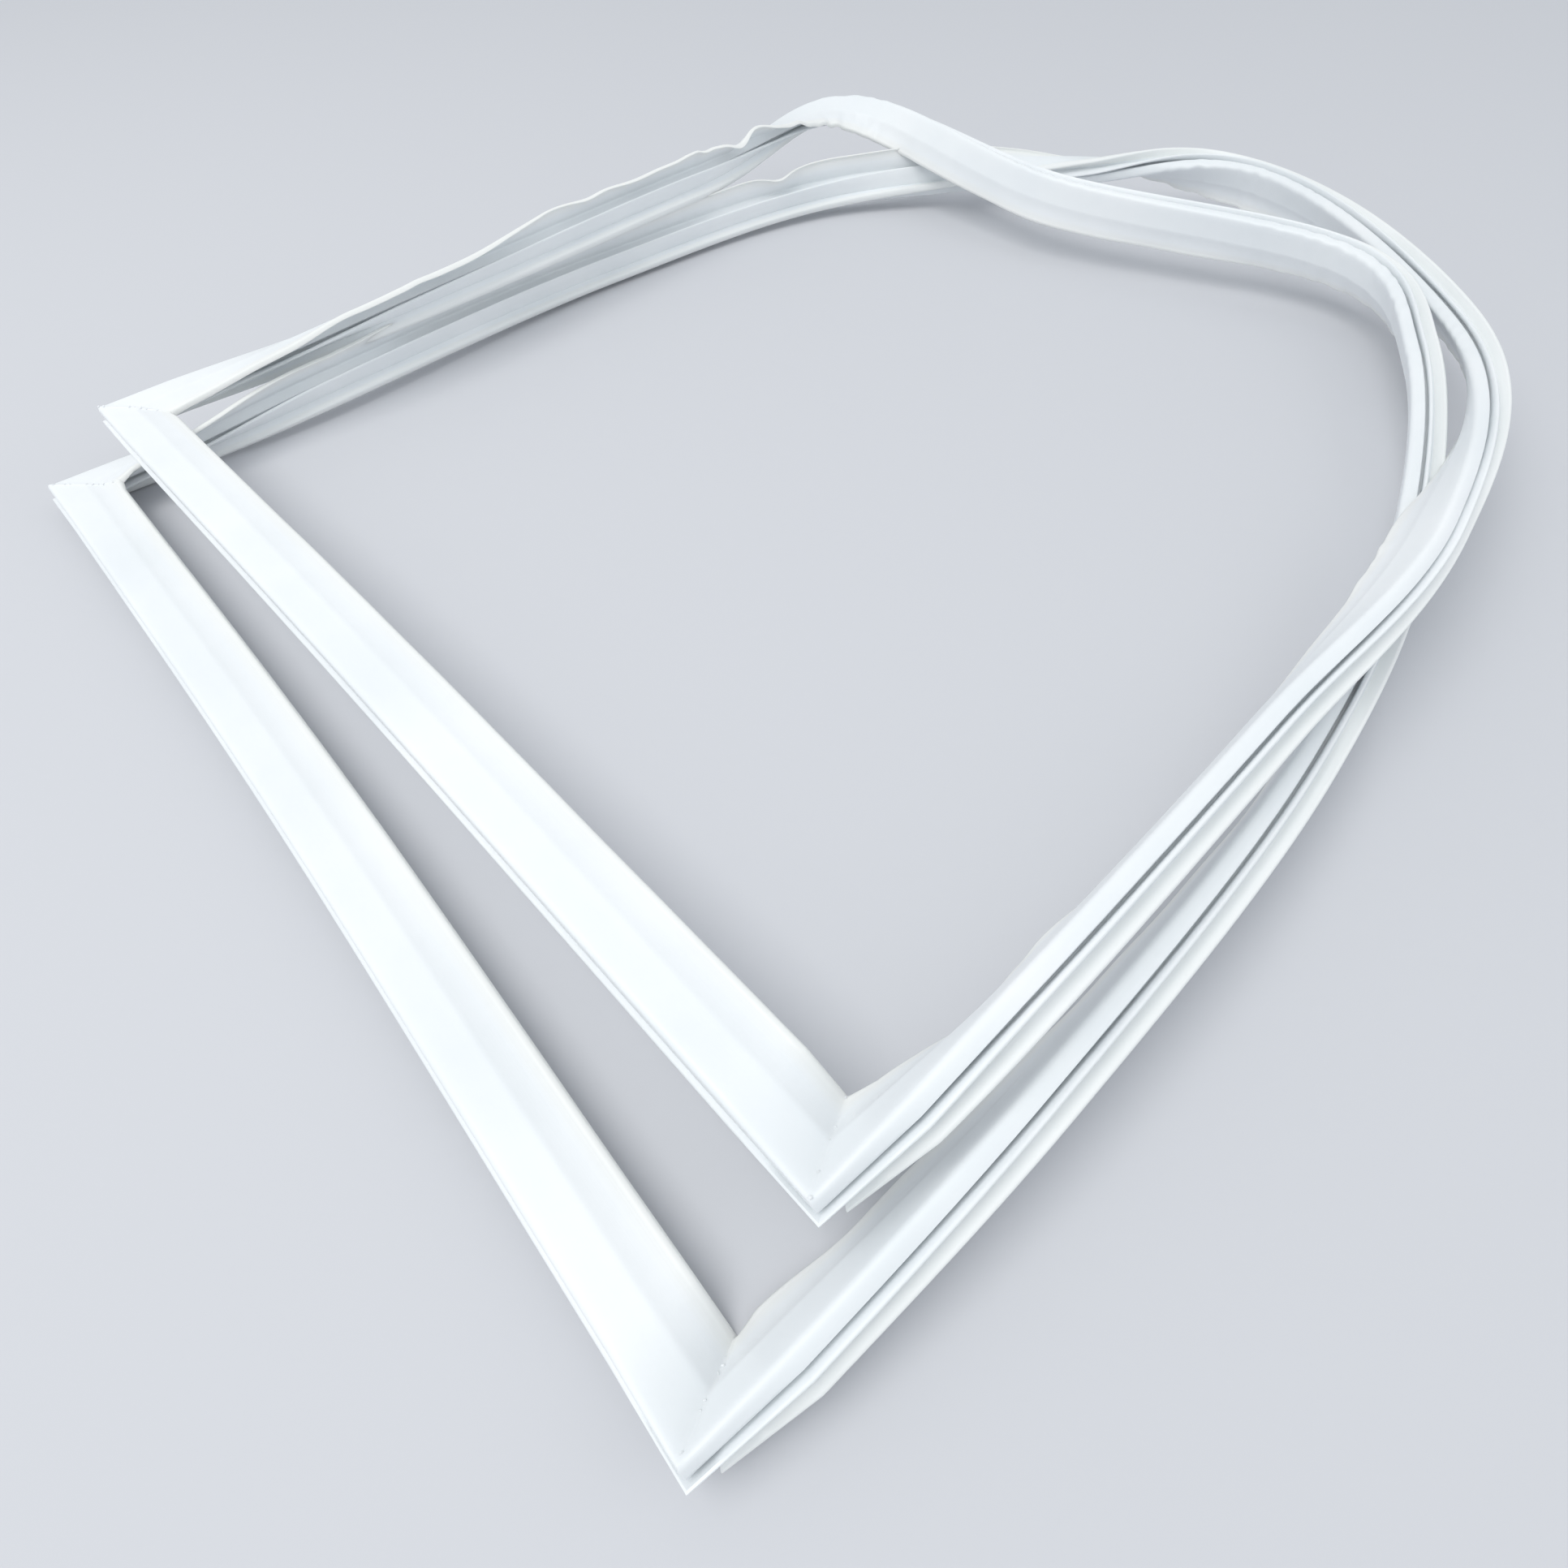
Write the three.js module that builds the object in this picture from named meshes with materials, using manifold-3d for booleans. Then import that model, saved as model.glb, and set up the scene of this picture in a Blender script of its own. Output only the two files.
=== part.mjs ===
// Refrigerator door gasket: a welded rectangular loop of white magnetic seal,
// stored as a coil of two turns, lying on the floor. Millimetres, +Z up.
// X runs along the two long sides, away from the short sides.
// Y runs along the short sides. The lower turn lies on the floor, z = 0.
//
// The loop is one extruded section with four welded mitres. Its sides, in order
// of travel, are: upper short side, outer long side, lower short side, inner long side.

import * as THREE from "three";
import { mergeVertices } from "three/addons/utils/BufferGeometryUtils.js";
import Module from "manifold-3d";

// Driving dimensions of the seal's section. u points out of the door frame, v out of its face.
const bulbWidth = 14.6; // the part of the face that holds the magnet
const bulbDepth = 6.5;
const wingReach = 18.5; // thin inner half of the face, from the section's origin
const faceOut = 10; // outer edge of the face, from the section's origin
const wall = 1; // of the bulb and the wing
const slotHeight = 1.5; // dark slot between bulb and base flange
const flangeThickness = 1.6;
const flangeLip = 1.5; // how far the flange stands proud of the bulb
const flangeInner = 8.2; // inner edge of the flange, from the section's origin
const dartDepth = 6.4; // dart that presses into the door's groove
const stemThickness = 1.8;
const barbReach = 3.4;
const magnetWidth = 10.4;
const magnetThickness = 3;
const magnetClearance = 0.4; // round the strip, inside its chamber

// Driving dimensions of the loop and of its coil
const shortSide = 525; // between the section's origins at two corners
const lowerSkew = 27; // how far the lower far corner stands along X from the near one
const stepIn = 19; // upper near corner, inward of the lower long side
const stepOut = 12; // upper far corner, outward of the lower long side
const stepAlong = 65; // upper short side, along X from the lower near corner
const wingLift = 5; // the lower turn's wing holds the upper turn up by this
const turnGap = 2; // between two turns where one crosses the other
const weldLand = 26; // plain stretch at each side of a mitre

// Fineness of the sweep
const shortSteps = 7;
const longSteps = 62;

// Heights and depths that follow from them
const neckTop = -bulbDepth;
const flangeTop = neckTop - slotHeight;
const flangeBottom = flangeTop - flangeThickness;
const sectionDepth = -flangeBottom + dartDepth;
const flangeOut = faceOut + flangeLip;
const bulbInner = faceOut - bulbWidth;
const neckOut = stemThickness / 2 + 1.5;
const neckIn = neckOut - stemThickness;
const stemOut = flangeOut / 2 - 1;
const stemIn = stemOut - stemThickness;

// Resting heights of the section's origin
const lying = sectionDepth; // face up, on the dart
const stacked = lying + sectionDepth + wingLift; // face up, on a turn that lies face up
const onEdge = wingReach + 0.5; // on the wing's edge, the face upright
const onBack = flangeOut + 3; // on the flange's edge, the wing up
const overEdge = onEdge + flangeOut + turnGap + wingReach; // crossing a turn that stands on edge

// Outer boundary of the white body's section, clockwise seen along the travel
const round = 1.4; // rounding of the bulb's corners
const tip = 0.8; // bead along the wing's edge
const sectionOutline = [
  [-wingReach + 0.2, -wall],
  [-wingReach, -0.3],
  [-wingReach + tip, 0.25],
  [-wingReach + 2.6 * tip, 0],
  [(bulbInner - wingReach) / 2 + 2, -0.35],
  [bulbInner + 0.4, 0],
  [faceOut - round, 0],
  [faceOut - 0.4, -0.4],
  [faceOut, -round],
  [faceOut, neckTop + round],
  [faceOut - 0.4, neckTop + 0.4],
  [faceOut - round, neckTop],
  [neckOut, neckTop],
  [neckOut, flangeTop],
  [flangeOut - 0.6, flangeTop],
  [flangeOut, flangeTop - 0.5],
  [flangeOut, flangeBottom + 0.5],
  [flangeOut - 0.6, flangeBottom],
  [stemOut, flangeBottom],
  [stemOut, flangeBottom - 0.25 * dartDepth],
  [stemOut + barbReach, -sectionDepth + 0.22 * dartDepth],
  [stemOut + barbReach, -sectionDepth + 0.1 * dartDepth],
  [stemOut + 0.6 * barbReach, -sectionDepth],
  [stemIn + 0.5, -sectionDepth + 0.06 * dartDepth],
  [stemIn, -sectionDepth + 0.4 * dartDepth],
  [stemIn, flangeBottom],
  [-flangeInner + 0.6, flangeBottom],
  [-flangeInner, flangeBottom + 0.5],
  [-flangeInner, flangeTop - 0.5],
  [-flangeInner + 0.6, flangeTop],
  [neckIn, flangeTop],
  [neckIn, neckTop],
  [bulbInner + round, neckTop],
  [bulbInner, neckTop + round],
  [bulbInner, -2 * wall],
  [bulbInner - wall, -wall],
  [(bulbInner - wingReach) / 2 + 2, -0.35 - wall],
  [-wingReach + 2.6 * tip, -wall],
];

// The magnet and its chamber, centred in the bulb
const chamberMiddle = [(faceOut + bulbInner) / 2, -bulbDepth / 2];
const rectangle = (width, height) => [
  [chamberMiddle[0] - width / 2, chamberMiddle[1] - height / 2],
  [chamberMiddle[0] - width / 2, chamberMiddle[1] + height / 2],
  [chamberMiddle[0] + width / 2, chamberMiddle[1] + height / 2],
  [chamberMiddle[0] + width / 2, chamberMiddle[1] - height / 2],
];
const chamberOutline = rectangle(
  magnetWidth + 2 * magnetClearance,
  magnetThickness + 2 * magnetClearance,
);
const magnetOutline = rectangle(magnetWidth, magnetThickness);

// Corners of the coil: near ones stand at small y, far ones at large y
const lowerNear = new THREE.Vector3(0, 0, lying);
const lowerFar = new THREE.Vector3(lowerSkew, shortSide, lying);
const upperNear = new THREE.Vector3(stepAlong, stepIn, stacked);
const upperFar = new THREE.Vector3(stepAlong, shortSide + stepOut, stacked);

// A bend is a place on a side's route, with the roll of the face there in degrees.
// Roll 0 has the face up; 90 has it upright, towards the inside of the coil.
// near() is measured from the near corners' line, far() from the far corners' line.
const bend = (point, roll) => ({ point, roll });
const near = (x, y, z, roll) => bend(new THREE.Vector3(x, y, z), roll);
const far = (x, y, z, roll) => bend(new THREE.Vector3(x, shortSide + y, z), roll);

const upperShort = [bend(upperFar, 0), bend(upperNear, 0)];
const lowerShort = [bend(lowerFar, 0), bend(lowerNear, 0)];
const outerLong = [
  bend(upperNear, 40),
  near(137, 19, stacked + 6, 72),
  near(275, 23, stacked + 10, 76),
  near(421, 33, overEdge + 1, 64),
  near(624, 107, onEdge + 20, 125),
  near(749, 294, onEdge + 8, 104),
  far(714, -127, onEdge, 180),
  far(573, 1, onBack, 272),
  far(378, 27, onBack, 288),
  far(165, 3, onBack + 2, 300),
  bend(lowerFar, 360),
];
const innerLong = [
  bend(lowerNear, 50),
  near(128, 0, onEdge + 2, 72),
  near(288, 9, onEdge + 2, 81),
  near(438, 42, onEdge, 96),
  near(592, 106, onEdge + 4, 116),
  near(663, 178, onEdge + 13, 114),
  far(612, -155, onEdge + 21, 79),
  far(607, 36, overEdge + 3, 17),
  far(450, 27, stacked + 10, -66),
  far(231, 8, stacked + 9, -45),
  bend(upperFar, 0),
];
const routes = [upperShort, outerLong, lowerShort, innerLong];

const UP = new THREE.Vector3(0, 0, 1);
const { cos, sin } = Math;

// The route of one side as a curve, and its roll as a second curve with the same parameter
function makeSide(bends, steps) {
  const path = new THREE.CatmullRomCurve3(bends.map((b) => b.point), false, "centripetal");
  const rolls = new THREE.SplineCurve(bends.map((b) => new THREE.Vector2(b.roll, 0)));
  const length = path.getLength();
  const shares = [0];
  for (let i = 0; i <= steps - 2; i += 1) {
    shares.push((weldLand + ((length - 2 * weldLand) * i) / (steps - 2)) / length);
  }
  shares.push(1);
  return shares.map((share) => frameAt(path, rolls, path.getUtoTmapping(share)));
}

// The section's origin, outward direction and face direction at one place on a side
function frameAt(path, rolls, t) {
  const along = path.getTangent(t);
  const inward = new THREE.Vector3().crossVectors(UP, along).normalize();
  const above = new THREE.Vector3().crossVectors(along, inward);
  const roll = THREE.MathUtils.degToRad(rolls.getPoint(t).x);
  const face = above.clone().multiplyScalar(cos(roll)).addScaledVector(inward, sin(roll));
  const outward = above.multiplyScalar(sin(roll)).addScaledVector(inward, -cos(roll));
  return { origin: path.getPoint(t), along, outward, face };
}

// Two sides meet in the plane that halves their corner, where the section is stretched
function makeMitre(before, after) {
  return {
    origin: before.origin,
    along: before.along.clone().add(after.along).normalize(),
    outward: before.outward.clone().add(after.outward),
    face: before.face.clone().add(after.face).normalize(),
  };
}

const at = (frame, [u, v]) =>
  frame.origin.clone().addScaledVector(frame.outward, u).addScaledVector(frame.face, v);

// The surface that an outline leaves on its way through the frames: a closed loop or a capped strip
function sweep(outline, frames, isLoop) {
  const count = outline.length;
  const corners = frames.flatMap((frame) => outline.map((point) => at(frame, point)));
  const index = [];
  const rings = isLoop ? frames.length : frames.length - 1;
  for (let i = 0; i < rings; i += 1) {
    const here = i * count;
    const next = ((i + 1) % frames.length) * count;
    for (let j = 0; j < count; j += 1) {
      const k = (j + 1) % count;
      index.push(here + j, here + k, next + k, here + j, next + k, next + j);
    }
  }
  if (!isLoop) {
    const last = (frames.length - 1) * count;
    for (let j = 1; j < count - 1; j += 1) {
      index.push(0, j + 1, j, last, last + j, last + j + 1);
    }
  }
  return new THREE.BufferGeometry().setFromPoints(corners).setIndex(index);
}

const wasm = await Module();
wasm.setup();

function toSolid(geometry) {
  geometry.deleteAttribute("normal");
  geometry.deleteAttribute("uv");
  const merged = mergeVertices(geometry);
  return new wasm.Manifold(
    new wasm.Mesh({
      numProp: 3,
      vertProperties: merged.attributes.position.array,
      triVerts: new Uint32Array(merged.index.array),
    }),
  );
}

function toGeometry(solid) {
  const { vertProperties, triVerts } = solid.getMesh();
  return new THREE.BufferGeometry()
    .setAttribute("position", new THREE.BufferAttribute(vertProperties, 3))
    .setIndex(new THREE.BufferAttribute(triVerts, 1));
}

// A vent lets air out of the magnet's chamber, through the bulb's floor into the slot
const ventSize = 2;
function makeVent(frame) {
  const bulbFloor = bulbDepth / 2 - magnetThickness / 2 - magnetClearance;
  const height = bulbFloor + 1;
  const vent = new THREE.BoxGeometry(ventSize, ventSize, height);
  const centre = at(frame, [chamberMiddle[0] + magnetWidth / 4, neckTop + bulbFloor / 2]);
  const turn = new THREE.Matrix4().makeBasis(frame.along, frame.outward.clone().negate(), frame.face);
  return vent.applyMatrix4(turn.setPosition(centre));
}

const sides = routes.map((bends) => makeSide(bends, bends.length === 2 ? shortSteps : longSteps));
const loop = sides.flatMap((frames, i) => {
  const previous = sides[(i + 3) % 4];
  return [makeMitre(previous[previous.length - 1], frames[0]), ...frames.slice(1, -1)];
});
const middleOf = (frames) => frames[Math.floor(frames.length / 2)];

let body = toSolid(sweep(sectionOutline, loop, true));
body = body.subtract(toSolid(sweep(chamberOutline, loop, true)));
for (const frames of sides) body = body.subtract(toSolid(makeVent(middleOf(frames))));

const softVinyl = new THREE.MeshStandardMaterial({ color: "#eef3f5", roughness: 0.42, metalness: 0 });
const gasket = new THREE.Mesh(toGeometry(body), softVinyl);
gasket.name = "gasket";

// Flexible magnet strips, one in each side, ending short of the welds
const stripNames = ["upper_short", "outer_long", "lower_short", "inner_long"];
const magnets = sides.map((frames, i) => {
  const bondedFerrite = new THREE.MeshStandardMaterial({ color: "#3a322c", roughness: 0.8, metalness: 0 });
  const strip = new THREE.Mesh(sweep(magnetOutline, frames.slice(1, -1), false), bondedFerrite);
  strip.name = `magnet_strip_${stripNames[i]}`;
  return strip;
});

// The origin is the centre of the coil's box, on the floor
const assembly = new THREE.Group();
assembly.add(gasket, ...magnets);
const box = new THREE.Box3().setFromObject(assembly);
const middle = box.getCenter(new THREE.Vector3());
assembly.position.set(-middle.x, -middle.y, -box.min.z);
export default assembly;
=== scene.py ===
from math import cos, pi, radians, sin, tau

import bpy
import numpy as np
from mathutils import Matrix, Vector


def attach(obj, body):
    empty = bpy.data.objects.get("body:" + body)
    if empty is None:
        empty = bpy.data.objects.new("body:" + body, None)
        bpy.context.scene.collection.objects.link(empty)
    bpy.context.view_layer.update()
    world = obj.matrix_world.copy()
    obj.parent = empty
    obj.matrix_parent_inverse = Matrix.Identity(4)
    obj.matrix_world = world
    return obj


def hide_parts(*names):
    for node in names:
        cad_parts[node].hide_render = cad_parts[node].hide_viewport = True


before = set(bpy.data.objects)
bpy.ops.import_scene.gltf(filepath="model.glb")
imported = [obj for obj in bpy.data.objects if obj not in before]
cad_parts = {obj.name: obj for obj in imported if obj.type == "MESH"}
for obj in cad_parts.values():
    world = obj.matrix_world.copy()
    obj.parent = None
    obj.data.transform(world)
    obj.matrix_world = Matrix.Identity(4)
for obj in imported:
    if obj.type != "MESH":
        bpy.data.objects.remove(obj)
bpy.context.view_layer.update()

# The coiled door seal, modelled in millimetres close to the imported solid's route,
# and turned to metres when its mesh is made.
MM = 0.001

# Section of the seal, in millimetres: u points out of the door frame, v out of the face
BULB_WIDTH = 14.6
BULB_DEPTH = 6.5
EDGE_ROUND = 3.4
WING_REACH = 18.5
WING_HOLLOW = 0.7
LIP_DROP = 2.3
FACE_OUT = 10.0
WALL = 1.0
SLOT_HEIGHT = 1.5
FLANGE_THICKNESS = 1.6
FLANGE_LIP = 1.5
FLANGE_INNER = 8.2
DART_DEPTH = 6.4
STEM_THICKNESS = 1.8
BARB_REACH = 3.4
LIP_WIDTH = 3.0
NECK_SHIFT = 1.5
MAGNET_WIDTH = 10.4
MAGNET_HEIGHT = 3.0

NECK_TOP = -BULB_DEPTH
FLANGE_TOP = NECK_TOP - SLOT_HEIGHT
FLANGE_BOTTOM = FLANGE_TOP - FLANGE_THICKNESS
DEPTH = -FLANGE_BOTTOM + DART_DEPTH
FLANGE_OUT = FACE_OUT + FLANGE_LIP
BULB_INNER = FACE_OUT - BULB_WIDTH
WING_LENGTH = BULB_INNER + WING_REACH
STEM_OUT = FLANGE_OUT / 2 - 1
STEM_IN = STEM_OUT - STEM_THICKNESS

# Where the soft seal lies, in millimetres from the lower near corner: each bend is a place,
# the face's roll and the wing's fold in degrees. Roll 0 has the face up, 90 has it upright,
# towards the inside of the coil.
UPPER_FAR = (66, 537, 36.5)
UPPER_NEAR = (63.5, 19.5, 36.7)
LOWER_FAR = (26, 525, 15.2)
LOWER_NEAR = (3, 1, 15.2)
UPPER_SHORT = [(*UPPER_FAR, -4, -12), (66, 278, 38, -2, -5), (*UPPER_NEAR, -3, -2)]
OUTER_LONG = [
    (*UPPER_NEAR, 49, -2),
    (131, 17, 48, 71, -2),
    (277, 23, 46, 73, -12),
    (418, 31, 53, 57, 0),
    (624, 104, 33, 134, 5),
    (748, 299, 28, 109, 7),
    (712, 397, 18, 193, 8),
    (574, 524, 17, 284, 7),
    (379, 551, 14, 290, 2),
    (157, 529, 19, 304, 3),
    (*LOWER_FAR, 359, 12),
]
LOWER_SHORT = [(*LOWER_FAR, -1, 12), (18, 261, 15.4, 0, 5), (*LOWER_NEAR, -1, -6)]
INNER_LONG = [
    (*LOWER_NEAR, 53, -6),
    (125, -1, 25, 70, 3),
    (290, 9, 22.5, 83, 1),
    (437, 40, 17, 98, -7),
    (592, 110, 27, 112, -19),
    (660, 178, 33, 102, -19),
    (612, 369, 39, 80, -7),
    (607, 558, 52.5, 24, -8),
    (454, 552, 45, -64, -9),
    (225, 531, 45.5, -44, -13),
    (*UPPER_FAR, 4, -12),
]
# Distance between rings, in mm: closer on the long sides, which bend and pucker
SHORT_STEP = 6.0
LONG_STEP = 2.7
ROUTES = {
    "upper_short": (UPPER_SHORT, SHORT_STEP),
    "outer_long": (OUTER_LONG, LONG_STEP),
    "lower_short": (LOWER_SHORT, SHORT_STEP),
    "inner_long": (INNER_LONG, LONG_STEP),
}
WELD_LAND = 26.0
PATH_SAMPLES = 6001
# The route starts at the lower near corner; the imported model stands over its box's middle
SHIFT = np.array([-375.7023, -281.4745, 1.0905])


def unit(vectors):
    return vectors / np.linalg.norm(vectors, axis=-1, keepdims=True)


def smooth_path(bends, samples):
    """Centripetal Catmull-Rom curve through the bends: points, directions, rolls and folds."""
    knots = np.array(bends, float)
    points = knots[:, :3]
    ends = np.vstack([2 * points[0] - points[1], points, 2 * points[-1] - points[-2]])
    t = np.linspace(0, len(knots) - 1, samples)
    i = np.minimum(t.astype(int), len(knots) - 2)
    w = (t - i)[:, None]
    p0, p1, p2, p3 = ends[i], ends[i + 1], ends[i + 2], ends[i + 3]

    def knot_step(a, b):
        return np.sqrt(np.linalg.norm(a - b, axis=1))[:, None]

    d0, d1, d2 = knot_step(p0, p1), knot_step(p1, p2), knot_step(p2, p3)
    leave = ((p1 - p0) / d0 - (p2 - p0) / (d0 + d1) + (p2 - p1) / d1) * d1
    arrive = ((p2 - p1) / d1 - (p3 - p1) / (d1 + d2) + (p3 - p2) / d2) * d1
    square = -3 * p1 + 3 * p2 - 2 * leave - arrive
    cube = 2 * p1 - 2 * p2 + leave + arrive
    curve = p1 + leave * w + square * w**2 + cube * w**3
    direction = unit(leave + 2 * square * w + 3 * cube * w**2)
    turns = np.vstack([knots[:1, 3:], knots[:, 3:], knots[-1:, 3:]])
    r0, r1, r2, r3 = turns[i], turns[i + 1], turns[i + 2], turns[i + 3]
    out, into = (r2 - r0) / 2, (r3 - r1) / 2
    turn = (2 * r1 - 2 * r2 + out + into) * w**3 + (-3 * r1 + 3 * r2 - 2 * out - into) * w**2 + out * w + r1
    return curve, direction, turn


class Side:
    """Closely spaced frames along one side of the loop, from one weld to the next."""

    def __init__(self, bends, step):
        curve, direction, turn = smooth_path(bends, PATH_SAMPLES)
        reach = np.concatenate([[0], np.cumsum(np.linalg.norm(np.diff(curve, axis=0), axis=1))])
        self.length = reach[-1]
        count = max(2, round((self.length - 2 * WELD_LAND) / step))
        self.along = np.linspace(WELD_LAND, self.length - WELD_LAND, count + 1)
        self.full = (reach, curve, direction, turn)
        self.middle = self.frames(self.along)
        self.corner = self.frames(np.array([0, self.length]))
        bend = np.gradient(self.middle[3], self.along, axis=0)
        self.bend_out = np.einsum("ij,ij->i", bend, self.middle[1])
        self.bend_face = np.einsum("ij,ij->i", bend, self.middle[2])

    def pick(self, along, values):
        return np.stack([np.interp(along, self.full[0], column) for column in values.T], axis=1)

    def frames(self, along):
        """Origin, outward direction, face direction and travel at each place."""
        _, curve, direction, turn = self.full
        travel = unit(self.pick(along, direction))
        roll = np.radians(self.pick(along, turn)[:, :1])
        inward = unit(np.cross([0.0, 0.0, 1.0], travel))
        above = np.cross(travel, inward)
        face = above * np.cos(roll) + inward * np.sin(roll)
        outward = above * np.sin(roll) - inward * np.cos(roll)
        return self.pick(along, curve), outward, face, travel

    def fold(self, along):
        return self.pick(along, self.full[3])[:, 1]


def rounded(corners):
    """A closed outline with each corner (u, v, radius) turned into a short arc."""
    points = np.array([c[:2] for c in corners], float)
    outline = []
    for i, (u, v, radius) in enumerate(corners):
        if radius == 0:
            outline.append((u, v))
            continue
        here = points[i]
        back, on = points[i - 1] - here, points[(i + 1) % len(points)] - here
        reach = min(radius, 0.48 * np.linalg.norm(back), 0.48 * np.linalg.norm(on))
        start = here + back / np.linalg.norm(back) * reach
        end = here + on / np.linalg.norm(on) * reach
        steps = 1 if radius < 1 else 2 if radius < 2 else 4
        for w in np.linspace(0, 1, steps + 1):
            outline.append(tuple((1 - w) ** 2 * start + 2 * w * (1 - w) * here + w * w * end))
    return np.array(outline)


def make_section():
    neck_out = STEM_THICKNESS / 2 + NECK_SHIFT
    neck_in = neck_out - STEM_THICKNESS
    wing_start = -WING_REACH + LIP_WIDTH
    wing = np.linspace(wing_start, BULB_INNER, 8)[1:-1]
    hollow = -WING_HOLLOW * np.sin(pi * (wing - wing_start) / (BULB_INNER - wing_start))
    corners = [
        (-WING_REACH - 0.1, -LIP_DROP, 0.3),
        (-WING_REACH + 0.2, -0.7, 0.6),
        (-WING_REACH + 1.5, 0.35, 0.6),
        (wing_start, -0.2, 0.5),
        *[(u, v, 0) for u, v in zip(wing, hollow)],
        (BULB_INNER, 0.12, 0.5),
        (BULB_INNER + 1.4, 0, 0),
        (1.0, 0.04, 0),
        (5.0, 0, 0),
        (FACE_OUT, 0, EDGE_ROUND),
        (FACE_OUT, NECK_TOP, 1.6),
        (neck_out, NECK_TOP, 0),
        (neck_out, FLANGE_TOP, 0),
        (FLANGE_OUT, FLANGE_TOP, 0.6),
        (FLANGE_OUT, FLANGE_BOTTOM, 0.6),
        (STEM_OUT, FLANGE_BOTTOM, 0),
        (STEM_OUT, FLANGE_BOTTOM - 0.3 * DART_DEPTH, 0.5),
        (STEM_OUT + BARB_REACH, -DEPTH + 0.2 * DART_DEPTH, 0.5),
        (STEM_OUT + 0.7 * BARB_REACH, -DEPTH, 0.5),
        (STEM_IN + 0.3, -DEPTH + 0.03 * DART_DEPTH, 0.6),
        (STEM_IN, -DEPTH + 0.4 * DART_DEPTH, 0),
        (STEM_IN, FLANGE_BOTTOM, 0),
        (-FLANGE_INNER, FLANGE_BOTTOM, 0.6),
        (-FLANGE_INNER, FLANGE_TOP, 0.6),
        (neck_in, FLANGE_TOP, 0),
        (neck_in, NECK_TOP, 0),
        (BULB_INNER, NECK_TOP, 1.4),
        (BULB_INNER, -2 * WALL, 0.6),
        (BULB_INNER - WALL, -WALL, 0.6),
        *[(u, v - WALL, 0) for u, v in zip(wing[::-2], hollow[::-2])],
        (wing_start, -0.2 - WALL, 0),
        (-WING_REACH + 1.3, -1.2 * WALL, 0.4),
        (-WING_REACH + 0.8, -LIP_DROP, 0.3),
    ]
    return rounded(corners)


SECTION = make_section()
U, V = SECTION[:, 0], SECTION[:, 1]
# The dart's own points run from one side of its stem to the other, below the flange
ON_DART = V < FLANGE_BOTTOM - 0.01
DART_RANK = np.where(ON_DART, np.cumsum(ON_DART) / (ON_DART.sum() + 1), 0)
ON_TOP = V > -LIP_DROP - 0.2
ON_WING = (U < BULB_INNER + 0.3) & ON_TOP


def smoothstep(low, high, x):
    w = np.clip((x - low) / (high - low), 0, 1)
    return w * w * (3 - 2 * w)


def wander(along, seed, waves):
    """A soft, uneven wave along the seal: each wave is a length in mm and a height."""
    phase = np.random.default_rng(seed).uniform(0, tau, 2 * len(waves))
    total = np.zeros_like(along)
    for k, (length, height) in enumerate(waves):
        drift = 0.9 * np.sin(tau * along / (3.7 * length) + phase[2 * k])
        total = total + height * np.sin(tau * along / length + phase[2 * k + 1] + drift)
    return total


# Places where the vinyl has kinked or buckled: distance along the side, half width,
# change of the wing's fold in degrees and dent of the face, in mm. The keys count the
# sides in the order of ROUTES.
KINKS = {
    0: [],
    1: [(60, 16, -9, 0.3), (103, 14, 8, 0), (150, 40, -8, 0), (1128, 26, 12, 0.5), (1165, 12, -14, 1.4)],
    2: [],
    3: [
        (30, 22, 10, 0),
        (55, 18, -7, 0),
        (1040, 16, -10, 0.6),
        (1150, 30, -7, 0.4),
        (1196, 14, 16, -1.2),
        (1218, 10, -12, 1.0),
        (1259, 12, 8, 0),
        (1352, 12, -8, 0),
        (1380, 14, 6, 0),
    ],
}
# Stretches where the wing's edge waves more, as start, end and gain
RESTLESS = {0: [], 1: [(1000, 1640, 1.7)], 2: [], 3: [(900, 1640, 2.0), (430, 700, 1.3)]}

# Each of these scales a wave: puckers and scallops in mm, ripples in degrees of fold
PUCKER_ON_BULB = 0.30
PUCKER_ON_WING = 0.26
SCALLOP = 0.2
RIPPLE_TURN = 1.6
# The weld's bead is this high in mm. It tapers off within 1 / BEAD_TAPER of the weld's land,
# and lifts the points above BEAD_DEPTH.
WELD_BEAD = 0.45
BEAD_TAPER = 18
BEAD_DEPTH = -1.2


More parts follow.
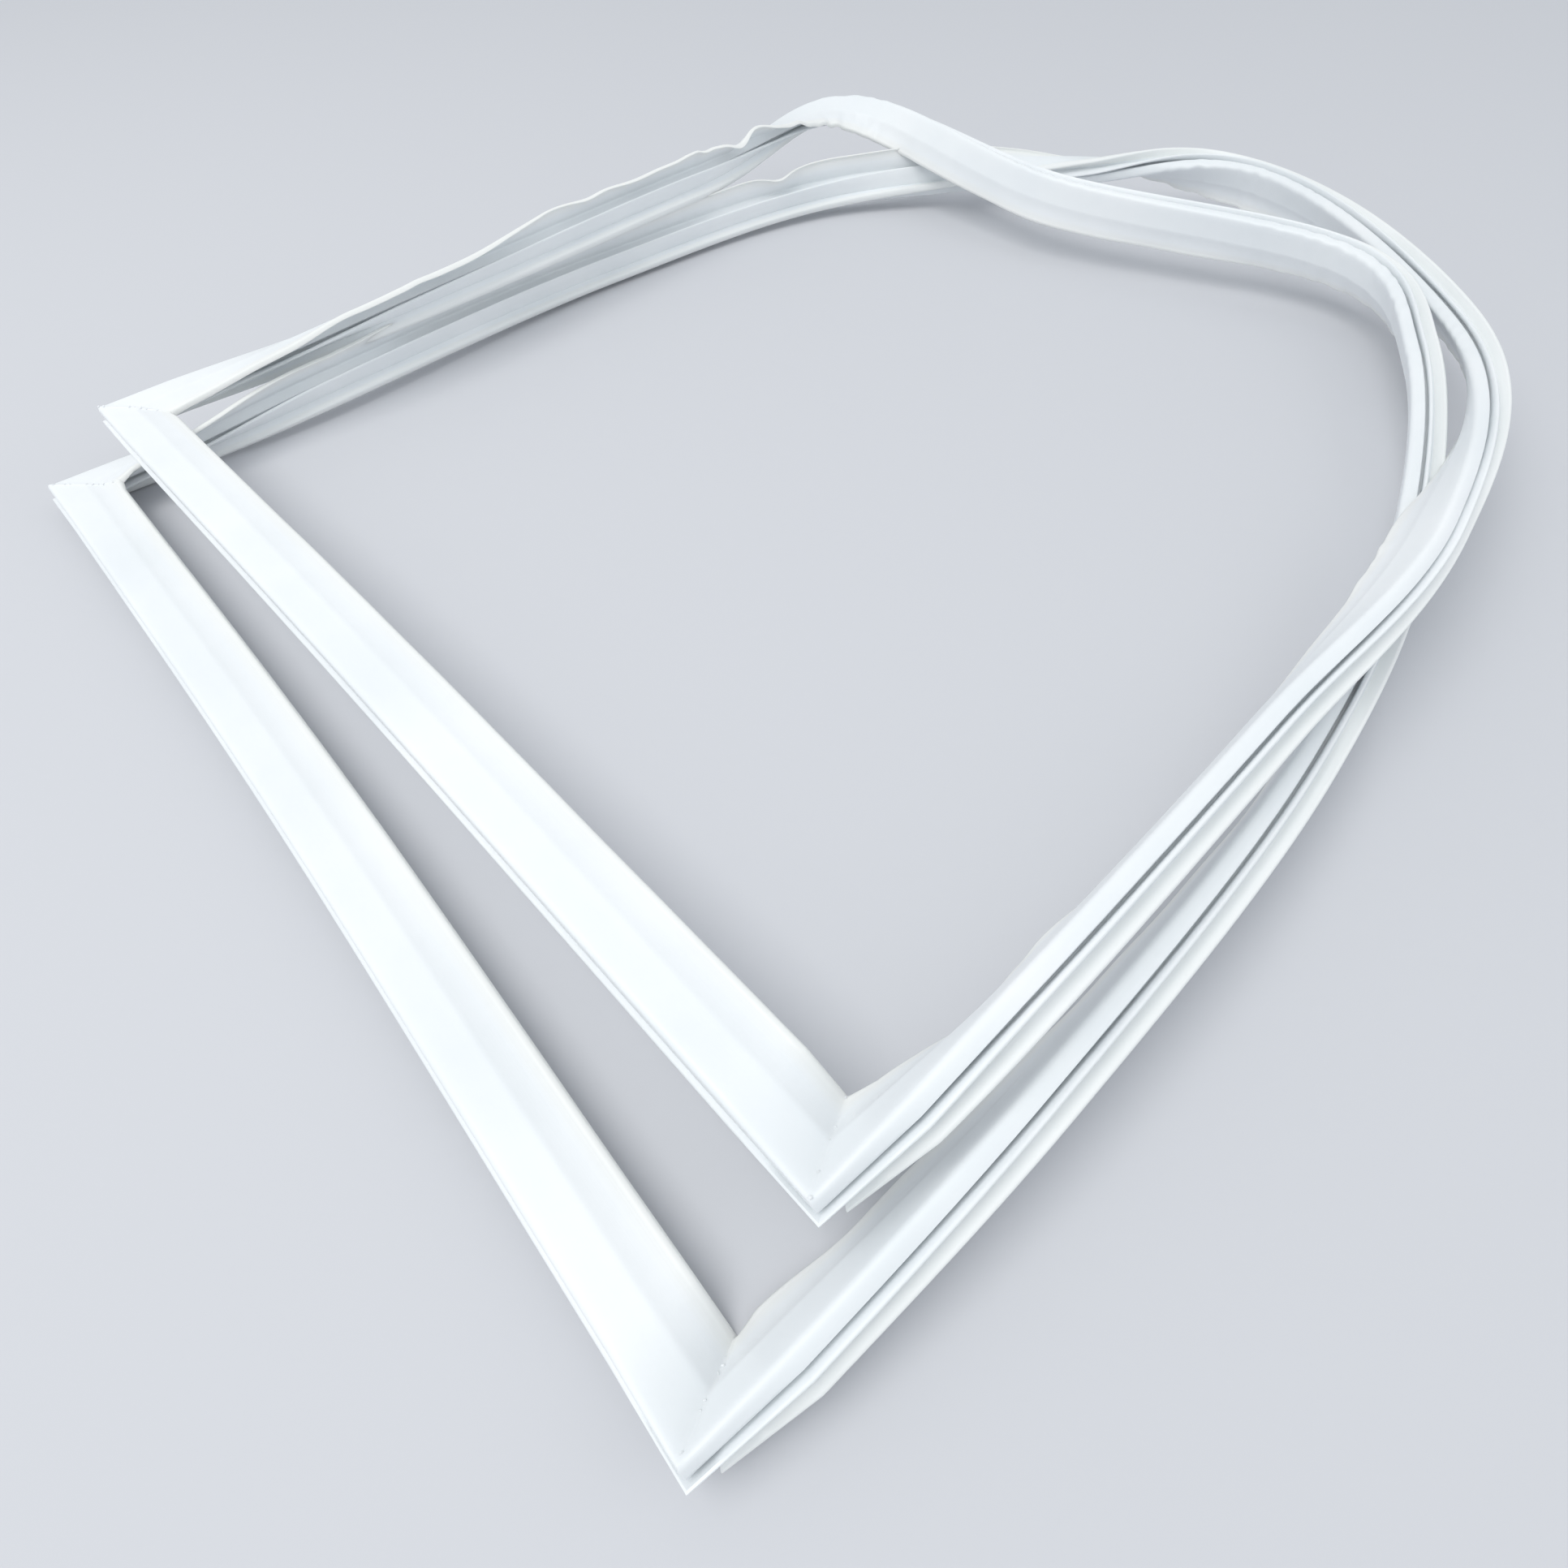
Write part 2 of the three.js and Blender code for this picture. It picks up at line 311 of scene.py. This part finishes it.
def shaped(side, along, shares, index):
    """Section points at each place on a side, with the small uneven shapes that soft vinyl takes."""
    s = along[:, None]
    u = np.repeat(U[None, :], len(along), axis=0)
    v = np.repeat(V[None, :], len(along), axis=0)
    free = smoothstep(4, 70, np.minimum(s, side.length - s))
    bend_out = np.interp(along, side.along, side.bend_out)[:, None]
    bend_face = np.interp(along, side.along, side.bend_face)[:, None]
    seed = 20 * index

    # Fine puckers across the face, where a bend presses it together
    pressed = smoothstep(0.001, 0.006, bend_face) * free
    pucker = wander(along, seed + 1, [(13.5, 1.0), (11, 0.6), (21, 0.7)])[:, None]
    across = smoothstep(-2, 8, U)[None, :] * PUCKER_ON_BULB + smoothstep(2, -14, U)[None, :] * PUCKER_ON_WING
    v = v - ON_TOP[None, :] * across * pucker * pressed
    # The outer edge scallops in the bends
    edge = smoothstep(FACE_OUT - 4, FACE_OUT, U)[None, :] * (V > NECK_TOP)[None, :]
    scallop = wander(along, seed + 2, [(11, 1.0), (15, 0.7)])[:, None]
    u = u + edge * SCALLOP * scallop * smoothstep(0.001, 0.005, np.abs(bend_face) + bend_out) * free

    # The wing flutters and folds
    gain = np.full(len(along), 0.35 if index in (0, 2) else 1.0)
    for start, end, more in RESTLESS[index]:
        gain = gain + (more - 1) * smoothstep(start, start + 60, along) * smoothstep(end, end - 60, along)
    flutter = wander(along, seed + 3, [(260, 2.6), (118, 1.7), (61, 0.9)]) * gain
    ripple = wander(along, seed + 4, [(27, 1.0), (17, 0.7)]) * gain
    ruffle = smoothstep(0.0008, 0.005, np.abs(bend_out) + 0.6 * np.maximum(bend_face, 0))
    fold = side.fold(along)[:, None] + (flutter[:, None] + RIPPLE_TURN * ripple[:, None] * ruffle) * free
    for place, width, turn, dent in KINKS[index]:
        bell = np.exp(-(((s - place) / width) ** 2))
        fold = fold + turn * bell
        v = v - dent * bell * ON_TOP[None, :] * smoothstep(8, -10, U)[None, :]
    reach = BULB_INNER - u
    turn = np.radians(fold) * np.clip(reach / WING_LENGTH, 0, 1.15)
    curled_u = BULB_INNER - reach * np.cos(turn) + v * np.sin(turn)
    curled_v = reach * np.sin(turn) + v * np.cos(turn)
    wing = (ON_WING & (U < BULB_INNER))[None, :]
    u, v = np.where(wing, curled_u, u), np.where(wing, curled_v, v)

    # A low weld seam across the face, and the dart cut away round each corner
    v = v + WELD_BEAD * np.maximum(0, 1 - BEAD_TAPER * shares)[:, None] * (V > BEAD_DEPTH)[None, :]
    cut = (shares < DART_CUT)[:, None] & ON_DART[None, :]
    u = np.where(cut, STEM_OUT + (STEM_IN - STEM_OUT) * DART_RANK[None, :], u)
    v = np.where(cut, FLANGE_BOTTOM - 0.03, v)
    return np.stack([u, v], axis=2)


def sweep_points(origin, outward, face, shape):
    return origin[:, None] + outward[:, None] * shape[..., :1] + face[:, None] * shape[..., 1:]


# Rings between a weld and the first plain ring, as shares of the weld's land. The dart is cut
# away on the rings below DART_CUT.
LAND_SHARES = np.array([0.015, 0.035, 0.06, 0.13, 0.14, 0.2, 0.3, 0.45, 0.62, 0.8])
DART_CUT = 0.135


def find_mitre(before, after):
    outward = before.corner[1][1] + after.corner[1][0]
    face = unit(before.corner[2][1] + after.corner[2][0])
    return after.corner[0][0], outward, face


def make_seal(sides):
    """Rings of points round the whole welded loop, with each ring's place along it."""
    rings, places = [], []
    start = 0.0
    k = len(LAND_SHARES)
    for i, side in enumerate(sides):
        mitres = [find_mitre(sides[i - 1], side), find_mitre(side, sides[(i + 1) % 4])]
        lands = [LAND_SHARES * WELD_LAND, side.length - LAND_SHARES[::-1] * WELD_LAND]
        along = np.concatenate([[0], lands[0], side.along, lands[1]])
        shares = np.minimum(1, np.minimum(along, side.length - along) / WELD_LAND)
        shape = shaped(side, along, shares, i)
        origin, outward, face, _ = side.middle
        whole = sweep_points(origin, outward, face, shape[k + 1 : len(along) - k])

        def land(mitre, neighbour, part, shapes):
            weld = sweep_points(*[np.repeat(x[None], len(shapes), 0) for x in mitre], shapes)
            plain = sweep_points(*[np.repeat(x[None], len(shapes), 0) for x in neighbour], shapes)
            return weld + (plain - weld) * part[:, None, None]

        first = (origin[0], outward[0], face[0])
        last = (origin[-1], outward[-1], face[-1])
        opening = land(mitres[0], first, shares[: k + 1], shape[: k + 1])
        closing = land(mitres[1], last, shares[len(along) - k :], shape[len(along) - k :])
        rings.append(np.concatenate([opening, whole, closing]))
        places.append(start + along)
        start += side.length
    return np.concatenate(rings), np.concatenate(places), start


def build_gasket(name, sides):
    rings, places, length = make_seal(sides)
    count, width = rings.shape[:2]
    points = ((rings + SHIFT) * MM).reshape(-1, 3)
    # What would dip below the floor is pressed flat on it
    points[:, 2] = np.maximum(points[:, 2], 0)
    ring, point = np.meshgrid(np.arange(count), np.arange(width), indexing="ij")
    next_ring, next_point = (ring + 1) % count, (point + 1) % width
    corners = [
        ring * width + point,
        ring * width + next_point,
        next_ring * width + next_point,
        next_ring * width + point,
    ]
    faces = np.stack([c.ravel() for c in corners], axis=1)
    mesh = bpy.data.meshes.new(name)
    mesh.from_pydata(points.tolist(), [], faces.tolist())
    across = np.concatenate([[0], np.cumsum(np.linalg.norm(np.diff(SECTION, axis=0), axis=1))])
    across = np.append(across, across[-1] + np.linalg.norm(SECTION[0] - SECTION[-1]))
    run = np.append(places, length)
    layer = mesh.uv_layers.new(name="seal")
    uv = np.empty((len(faces), 4, 2))
    for corner, (r, p) in enumerate([(0, 0), (0, 1), (1, 1), (1, 0)]):
        uv[:, corner, 0] = across[point.ravel() + p] * MM
        uv[:, corner, 1] = run[ring.ravel() + r] * MM
    layer.data.foreach_set("uv", uv.ravel())
    thinness = np.where(ON_WING, smoothstep(BULB_INNER, -WING_REACH, U), 0) + 0.8 * ON_DART
    thin = mesh.attributes.new("thin", "FLOAT", "POINT")
    thin.data.foreach_set("value", np.tile(thinness, count))
    mesh.polygons.foreach_set("use_smooth", np.ones(len(faces), bool))
    mesh.set_sharp_from_angle(angle=radians(50))
    mesh.update()
    seal = bpy.data.objects.new(name, mesh)
    bpy.context.scene.collection.objects.link(seal)
    return seal


def build_strip(name, side):
    """One magnet strip: a plain rectangular strip inside the bulb, from weld land to weld land."""
    u = FACE_OUT - BULB_WIDTH / 2 + MAGNET_WIDTH / 2 * np.array([-1, 1, 1, -1])
    v = -BULB_DEPTH / 2 + MAGNET_HEIGHT / 2 * np.array([1, 1, -1, -1])
    origin, outward, face, _ = side.middle
    section = np.repeat(np.stack([u, v], axis=1)[None], len(origin), axis=0)
    points = ((sweep_points(origin, outward, face, section) + SHIFT) * MM).reshape(-1, 3)
    faces = [(0, 1, 2, 3), tuple(len(points) - 1 - i for i in range(4))]
    for ring in range(0, len(points) - 4, 4):
        faces += [(ring + i, ring + 4 + i, ring + 4 + (i + 1) % 4, ring + (i + 1) % 4) for i in range(4)]
    mesh = bpy.data.meshes.new(name)
    mesh.from_pydata(points.tolist(), [], faces)
    strip = bpy.data.objects.new(name, mesh)
    bpy.context.scene.collection.objects.link(strip)
    return strip


def add(tree, kind, values=None, **links):
    """Adds a node, sets its values and links its inputs by name."""
    node = tree.nodes.new(kind)
    for key, value in (values or {}).items():
        if key in node.inputs:
            node.inputs[key].default_value = value
        else:
            setattr(node, key, value)
    for key, source in links.items():
        tree.links.new(source, node.inputs[key.replace("_", " ")])
    return node


def linear(code):
    """An sRGB hex colour as linear RGBA."""
    parts = [int(code[i : i + 2], 16) / 255 for i in (1, 3, 5)]
    return tuple(c / 12.92 if c <= 0.04045 else ((c + 0.055) / 1.055) ** 2.4 for c in parts) + (1.0,)


def new_material(name):
    material = bpy.data.materials.new(name)
    material.use_nodes = True
    tree = material.node_tree
    return material, tree, tree.nodes["Principled BSDF"]


def ramp(tree, low, high, source):
    """A colour ramp between two stops, each a place and a hex colour."""
    node = add(tree, "ShaderNodeValToRGB", Fac=source)
    for element, (place, code) in zip(node.color_ramp.elements, (low, high)):
        element.position = place
        element.color = linear(code)
    return node.outputs["Color"]


def make_soft_vinyl():
    """Soft white vinyl as it leaves the die: satin, faintly bluish, creamier where it is thin."""
    material, tree, shader = new_material("soft_white_vinyl")
    place = add(tree, "ShaderNodeTexCoord")
    cloud = add(tree, "ShaderNodeTexNoise", {"Scale": 14.0, "Detail": 3.0}, Vector=place.outputs["Object"])
    body = ramp(tree, (0.35, "#eef2f4"), (0.7, "#f5f8fa"), cloud.outputs["Fac"])
    thin = add(tree, "ShaderNodeAttribute", {"attribute_name": "thin"})
    spread = {"From Min": 0.5, "From Max": 1.0, "To Min": 0.0, "To Max": 0.55}
    amount = add(tree, "ShaderNodeMapRange", spread, Value=thin.outputs["Fac"])
    cream = add(tree, "ShaderNodeMix", {"data_type": "RGBA"})
    tree.links.new(amount.outputs["Result"], cream.inputs[0])
    tree.links.new(body, cream.inputs[6])
    cream.inputs[7].default_value = linear("#f5f4ec")
    tree.links.new(cream.outputs[2], shader.inputs["Base Color"])
    spread = {"From Min": 0.3, "From Max": 0.7, "To Min": 0.34, "To Max": 0.46}
    sheen = add(tree, "ShaderNodeMapRange", spread, Value=cloud.outputs["Fac"])
    tree.links.new(sheen.outputs["Result"], shader.inputs["Roughness"])
    shader.inputs["IOR"].default_value = 1.5
    shader.inputs["Subsurface Weight"].default_value = 0.35
    shader.inputs["Subsurface Radius"].default_value = (1.0, 1.0, 1.0)
    shader.inputs["Subsurface Scale"].default_value = 0.002
    # Soft unevenness of the surface, about 12 mm across
    swell = add(tree, "ShaderNodeTexNoise", {"Scale": 80.0, "Detail": 2.0}, Vector=place.outputs["Object"])
    rough = add(tree, "ShaderNodeBump", {"Strength": 0.25, "Distance": 0.0004}, Height=swell.outputs["Fac"])
    # Die lines: about 1 mm apart across the section, and as long as a hand along it
    seal = add(tree, "ShaderNodeUVMap", {"uv_map": "seal"})
    stretch = add(tree, "ShaderNodeMapping", {"Scale": (900.0, 9.0, 1.0)}, Vector=seal.outputs["UV"])
    lines = add(tree, "ShaderNodeTexNoise", {"Scale": 1.0, "Detail": 2.0}, Vector=stretch.outputs["Vector"])
    depth = {"Strength": 0.25, "Distance": 0.00008}
    bump = add(tree, "ShaderNodeBump", depth, Height=lines.outputs["Fac"], Normal=rough.outputs["Normal"])
    tree.links.new(bump.outputs["Normal"], shader.inputs["Normal"])
    return material


def make_bonded_ferrite():
    """Flexible magnet strip: dull black-brown ferrite powder in rubber."""
    material, tree, shader = new_material("bonded_ferrite")
    place = add(tree, "ShaderNodeTexCoord")
    grain = add(tree, "ShaderNodeTexNoise", {"Scale": 900.0, "Detail": 4.0}, Vector=place.outputs["Object"])
    colour = ramp(tree, (0.2, "#241f1b"), (0.8, "#4a413a"), grain.outputs["Fac"])
    tree.links.new(colour, shader.inputs["Base Color"])
    shader.inputs["Roughness"].default_value = 0.8
    bump = add(tree, "ShaderNodeBump", {"Strength": 0.3, "Distance": 0.0001}, Height=grain.outputs["Fac"])
    tree.links.new(bump.outputs["Normal"], shader.inputs["Normal"])
    return material


# Drops on each weld: how many places, their radius in metres and height above the face in mm
DROPS = 14
DROP_SIZE = 0.0006
DROP_HEIGHT = 0.4


def mitre_line(before, after):
    """Points along the weld across the face, from the wing's edge to the bulb's edge, in mm."""
    origin, outward, face = find_mitre(before, after)
    fold = radians(after.fold(np.array([0.0]))[0])
    line = []
    for u in np.linspace(-WING_REACH + 1.5, FACE_OUT - 1, 16):
        reach = max(0.0, BULB_INNER - u)
        turn = fold * reach / WING_LENGTH
        along_u = BULB_INNER - reach * cos(turn) if reach else u
        height = DROP_HEIGHT + reach * sin(turn) - WING_HOLLOW * sin(pi * min(1, reach / WING_LENGTH))
        line.append(origin + outward * along_u + face * height)
    return line


def make_weld_flash(name, lines, material):
    """Small drops of vinyl that the hot blade leaves along each weld, set there by Geometry Nodes."""
    path = bpy.data.meshes.new(name + "_path")
    points, edges = [], []
    for line in lines:
        base = len(points)
        points += [tuple((p + SHIFT) * MM) for p in line]
        edges += [(base + i, base + i + 1) for i in range(len(line) - 1)]
    path.from_pydata(points, edges, [])
    flash = bpy.data.objects.new(name, path)
    bpy.context.scene.collection.objects.link(flash)

    tree = bpy.data.node_groups.new("weld_flash_tree", "GeometryNodeTree")
    tree.interface.new_socket("Path", in_out="INPUT", socket_type="NodeSocketGeometry")
    tree.interface.new_socket("Drops", in_out="INPUT", socket_type="NodeSocketInt")
    tree.interface.new_socket("Drop size", in_out="INPUT", socket_type="NodeSocketFloat")
    tree.interface.new_socket("Flash", in_out="OUTPUT", socket_type="NodeSocketGeometry")
    inputs = add(tree, "NodeGroupInput")
    outputs = add(tree, "NodeGroupOutput")
    curve = add(tree, "GeometryNodeMeshToCurve", Mesh=inputs.outputs["Path"])
    drops = inputs.outputs["Drops"]
    spots = add(tree, "GeometryNodeResampleCurve", Curve=curve.outputs["Curve"], Count=drops)
    drop = add(tree, "GeometryNodeMeshIcoSphere", {"Subdivisions": 2}, Radius=inputs.outputs["Drop size"])
    spread = {"data_type": "FLOAT_VECTOR", "Min": (0.5, 0.5, 0.35), "Max": (1.7, 1.3, 0.9), "Seed": 4}
    size = add(tree, "FunctionNodeRandomValue", spread)
    spread = {"data_type": "FLOAT_VECTOR", "Min": (0.0, 0.0, 0.0), "Max": (0.5, 0.5, tau), "Seed": 9}
    turn = add(tree, "FunctionNodeRandomValue", spread)
    keep = add(tree, "FunctionNodeRandomValue", {"data_type": "BOOLEAN", "Probability": 0.45, "Seed": 13})
    placed = add(
        tree,
        "GeometryNodeInstanceOnPoints",
        Points=spots.outputs["Curve"],
        Instance=drop.outputs["Mesh"],
        Scale=size.outputs["Value"],
        Rotation=turn.outputs["Value"],
        Selection=keep.outputs[3],
    )
    real = add(tree, "GeometryNodeRealizeInstances", Geometry=placed.outputs["Instances"])
    smooth = add(tree, "GeometryNodeSetShadeSmooth", Geometry=real.outputs["Geometry"])
    coated = add(tree, "GeometryNodeSetMaterial", {"Material": material}, Geometry=smooth.outputs["Geometry"])
    tree.links.new(coated.outputs["Geometry"], outputs.inputs["Flash"])

    modifier = flash.modifiers.new("flash", "NODES")
    modifier.node_group = tree
    values = {"Drops": DROPS, "Drop size": DROP_SIZE}
    for item in tree.interface.items_tree:
        if item.name in values:
            modifier[item.identifier] = values[item.name]
    evaluated = flash.evaluated_get(bpy.context.evaluated_depsgraph_get())
    made = bpy.data.meshes.new_from_object(evaluated)
    flash.modifiers.clear()
    flash.data = made
    bpy.data.meshes.remove(path)
    made.name = name
    return flash


vinyl = make_soft_vinyl()
ferrite = make_bonded_ferrite()
sides = [Side(bends, step) for bends, step in ROUTES.values()]
gasket = build_gasket("fine_gasket", sides)
gasket.data.materials.append(vinyl)
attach(gasket, "root")
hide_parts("gasket")

welds = [mitre_line(sides[i - 1], sides[i]) for i in range(4)]
flash = make_weld_flash("weld_flash", welds, vinyl)
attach(flash, "root")

for route, side in zip(ROUTES, sides):
    strip = build_strip("fine_strip_" + route, side)
    strip.data.materials.append(ferrite)
    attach(strip, "root")
    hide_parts("magnet_strip_" + route)

# Floor: plain pale grey, wide enough to fill the view
FLOOR_REACH = 6.0
floor_mesh = bpy.data.meshes.new("floor")
floor_corners = [(x * FLOOR_REACH, y * FLOOR_REACH, 0) for x, y in ((-1, -1), (1, -1), (1, 1), (-1, 1))]
floor_mesh.from_pydata(floor_corners, [], [(0, 1, 2, 3)])
floor = bpy.data.objects.new("floor", floor_mesh)
bpy.context.scene.collection.objects.link(floor)
floor_material, floor_tree, floor_shader = new_material("plain_floor")
floor_shader.inputs["Base Color"].default_value = linear("#d3d4d8")
floor_shader.inputs["Roughness"].default_value = 0.9
floor_shader.inputs["Specular IOR Level"].default_value = 0.1
floor_mesh.materials.append(floor_material)


def area_light(name, place, target, size, power, colour):
    data = bpy.data.lights.new(name, "AREA")
    data.size = size
    data.energy = power
    data.color = colour
    lamp = bpy.data.objects.new(name, data)
    lamp.location = place
    lamp.rotation_euler = (Vector(target) - Vector(place)).to_track_quat("-Z", "Y").to_euler()
    bpy.context.scene.collection.objects.link(lamp)


area_light("soft_key", (-1.3, 0.2, 2.2), (0, 0, 0), 1.6, 26, (1.0, 0.995, 0.98))
area_light("soft_fill", (1.6, -1.8, 1.6), (0, 0, 0), 2.2, 7, (0.9, 0.95, 1.0))

world = bpy.data.worlds.new("studio")
world.use_nodes = True
world.node_tree.nodes["Background"].inputs["Color"].default_value = (0.92, 0.96, 1.0, 1.0)
world.node_tree.nodes["Background"].inputs["Strength"].default_value = 0.74
bpy.context.scene.world = world

# Camera: the photo's viewing angle, just above the lower near corner
PHOTO_WIDTH = 1932
FOCAL_PIXELS = 1199.6
HEADING = radians(41.83)
PITCH = radians(51.04)
TWIST = radians(1.37)
EYE = Vector((-0.37422, -0.31919, 0.2998))
ahead = Vector((sin(HEADING) * cos(PITCH), cos(HEADING) * cos(PITCH), -sin(PITCH)))
level = Vector((cos(HEADING), -sin(HEADING), 0))
below = ahead.cross(level)
right = level * cos(TWIST) + below * sin(TWIST)
down = below * cos(TWIST) - level * sin(TWIST)
camera_data = bpy.data.cameras.new("camera")
camera_data.sensor_width = 36
camera_data.lens = 36 * FOCAL_PIXELS / PHOTO_WIDTH
camera_data.clip_start = 0.01
camera_data.clip_end = 50
camera = bpy.data.objects.new("camera", camera_data)
bpy.context.scene.collection.objects.link(camera)
camera.matrix_world = Matrix.Translation(EYE) @ Matrix((right, -down, -ahead)).transposed().to_4x4()
bpy.context.scene.camera = camera

bpy.context.scene.view_settings.view_transform = "Standard"
